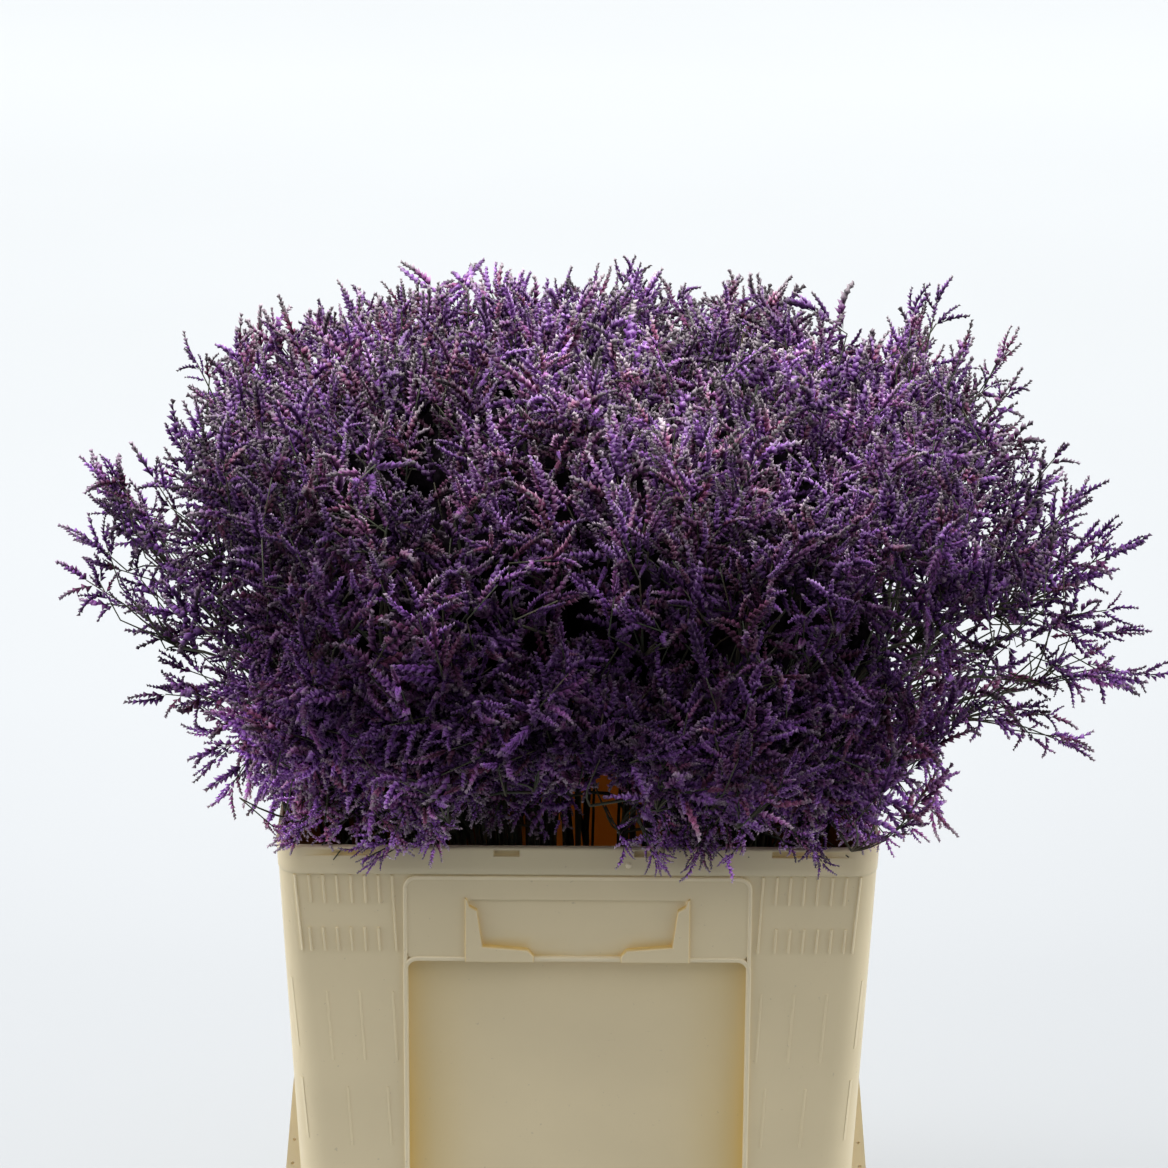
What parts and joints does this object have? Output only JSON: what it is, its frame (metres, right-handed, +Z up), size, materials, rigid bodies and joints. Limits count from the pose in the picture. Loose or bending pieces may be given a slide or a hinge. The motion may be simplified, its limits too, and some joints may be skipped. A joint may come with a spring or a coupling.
{
  "type": "bucket of dried statice",
  "caption": "Dense bunch of dried purple statice (sea lavender) on thin green stems, standing in a deep, tapered, rectangular cream plastic flower bucket.",
  "frame": {"origin": "middle of the underside of the bucket, on the surface it stands on", "axes": "+Z up, -Y towards the front face with the card holder, +X to the right seen from the front"},
  "size_m": [0.7436, 0.5015, 0.7999],
  "materials": {
    "bucket_plastic": "satin moulded cream polypropylene, slightly translucent, fine scuffs",
    "flower_heads": "dry papery florets, deep violet to mauve with paler lilac tips",
    "flower_stems": "dried dark green stalks, matt"
  },
  "bodies": {
    "root": {"bucket": "bucket_plastic", "head_01": "flower_heads", "head_02": "flower_heads", "head_03": "flower_heads", "head_04": "flower_heads", "head_05": "flower_heads", "head_06": "flower_heads", "head_07": "flower_heads", "head_08": "flower_heads", "head_09": "flower_heads", "head_10": "flower_heads", "head_11": "flower_heads", "head_12": "flower_heads", "head_13": "flower_heads", "head_14": "flower_heads", "head_15": "flower_heads", "head_16": "flower_heads", "head_17": "flower_heads", "head_18": "flower_heads", "head_19": "flower_heads", "head_20": "flower_heads", "head_21": "flower_heads", "head_22": "flower_heads", "head_23": "flower_heads", "head_24": "flower_heads", "head_25": "flower_heads", "head_26": "flower_heads", "head_27": "flower_heads", "head_28": "flower_heads", "head_29": "flower_heads", "stem_01": "flower_stems", "stem_02": "flower_stems", "stem_03": "flower_stems", "stem_04": "flower_stems", "stem_05": "flower_stems", "stem_06": "flower_stems", "stem_07": "flower_stems", "stem_08": "flower_stems", "stem_09": "flower_stems", "stem_10": "flower_stems", "stem_11": "flower_stems", "stem_12": "flower_stems", "stem_13": "flower_stems", "stem_14": "flower_stems", "stem_15": "flower_stems", "stem_16": "flower_stems", "stem_17": "flower_stems", "stem_18": "flower_stems", "stem_19": "flower_stems", "stem_20": "flower_stems", "stem_21": "flower_stems", "stem_22": "flower_stems", "stem_23": "flower_stems", "stem_24": "flower_stems", "stem_25": "flower_stems", "stem_26": "flower_stems", "stem_27": "flower_stems", "stem_28": "flower_stems", "stem_29": "flower_stems"}
  },
  "joints": []
}
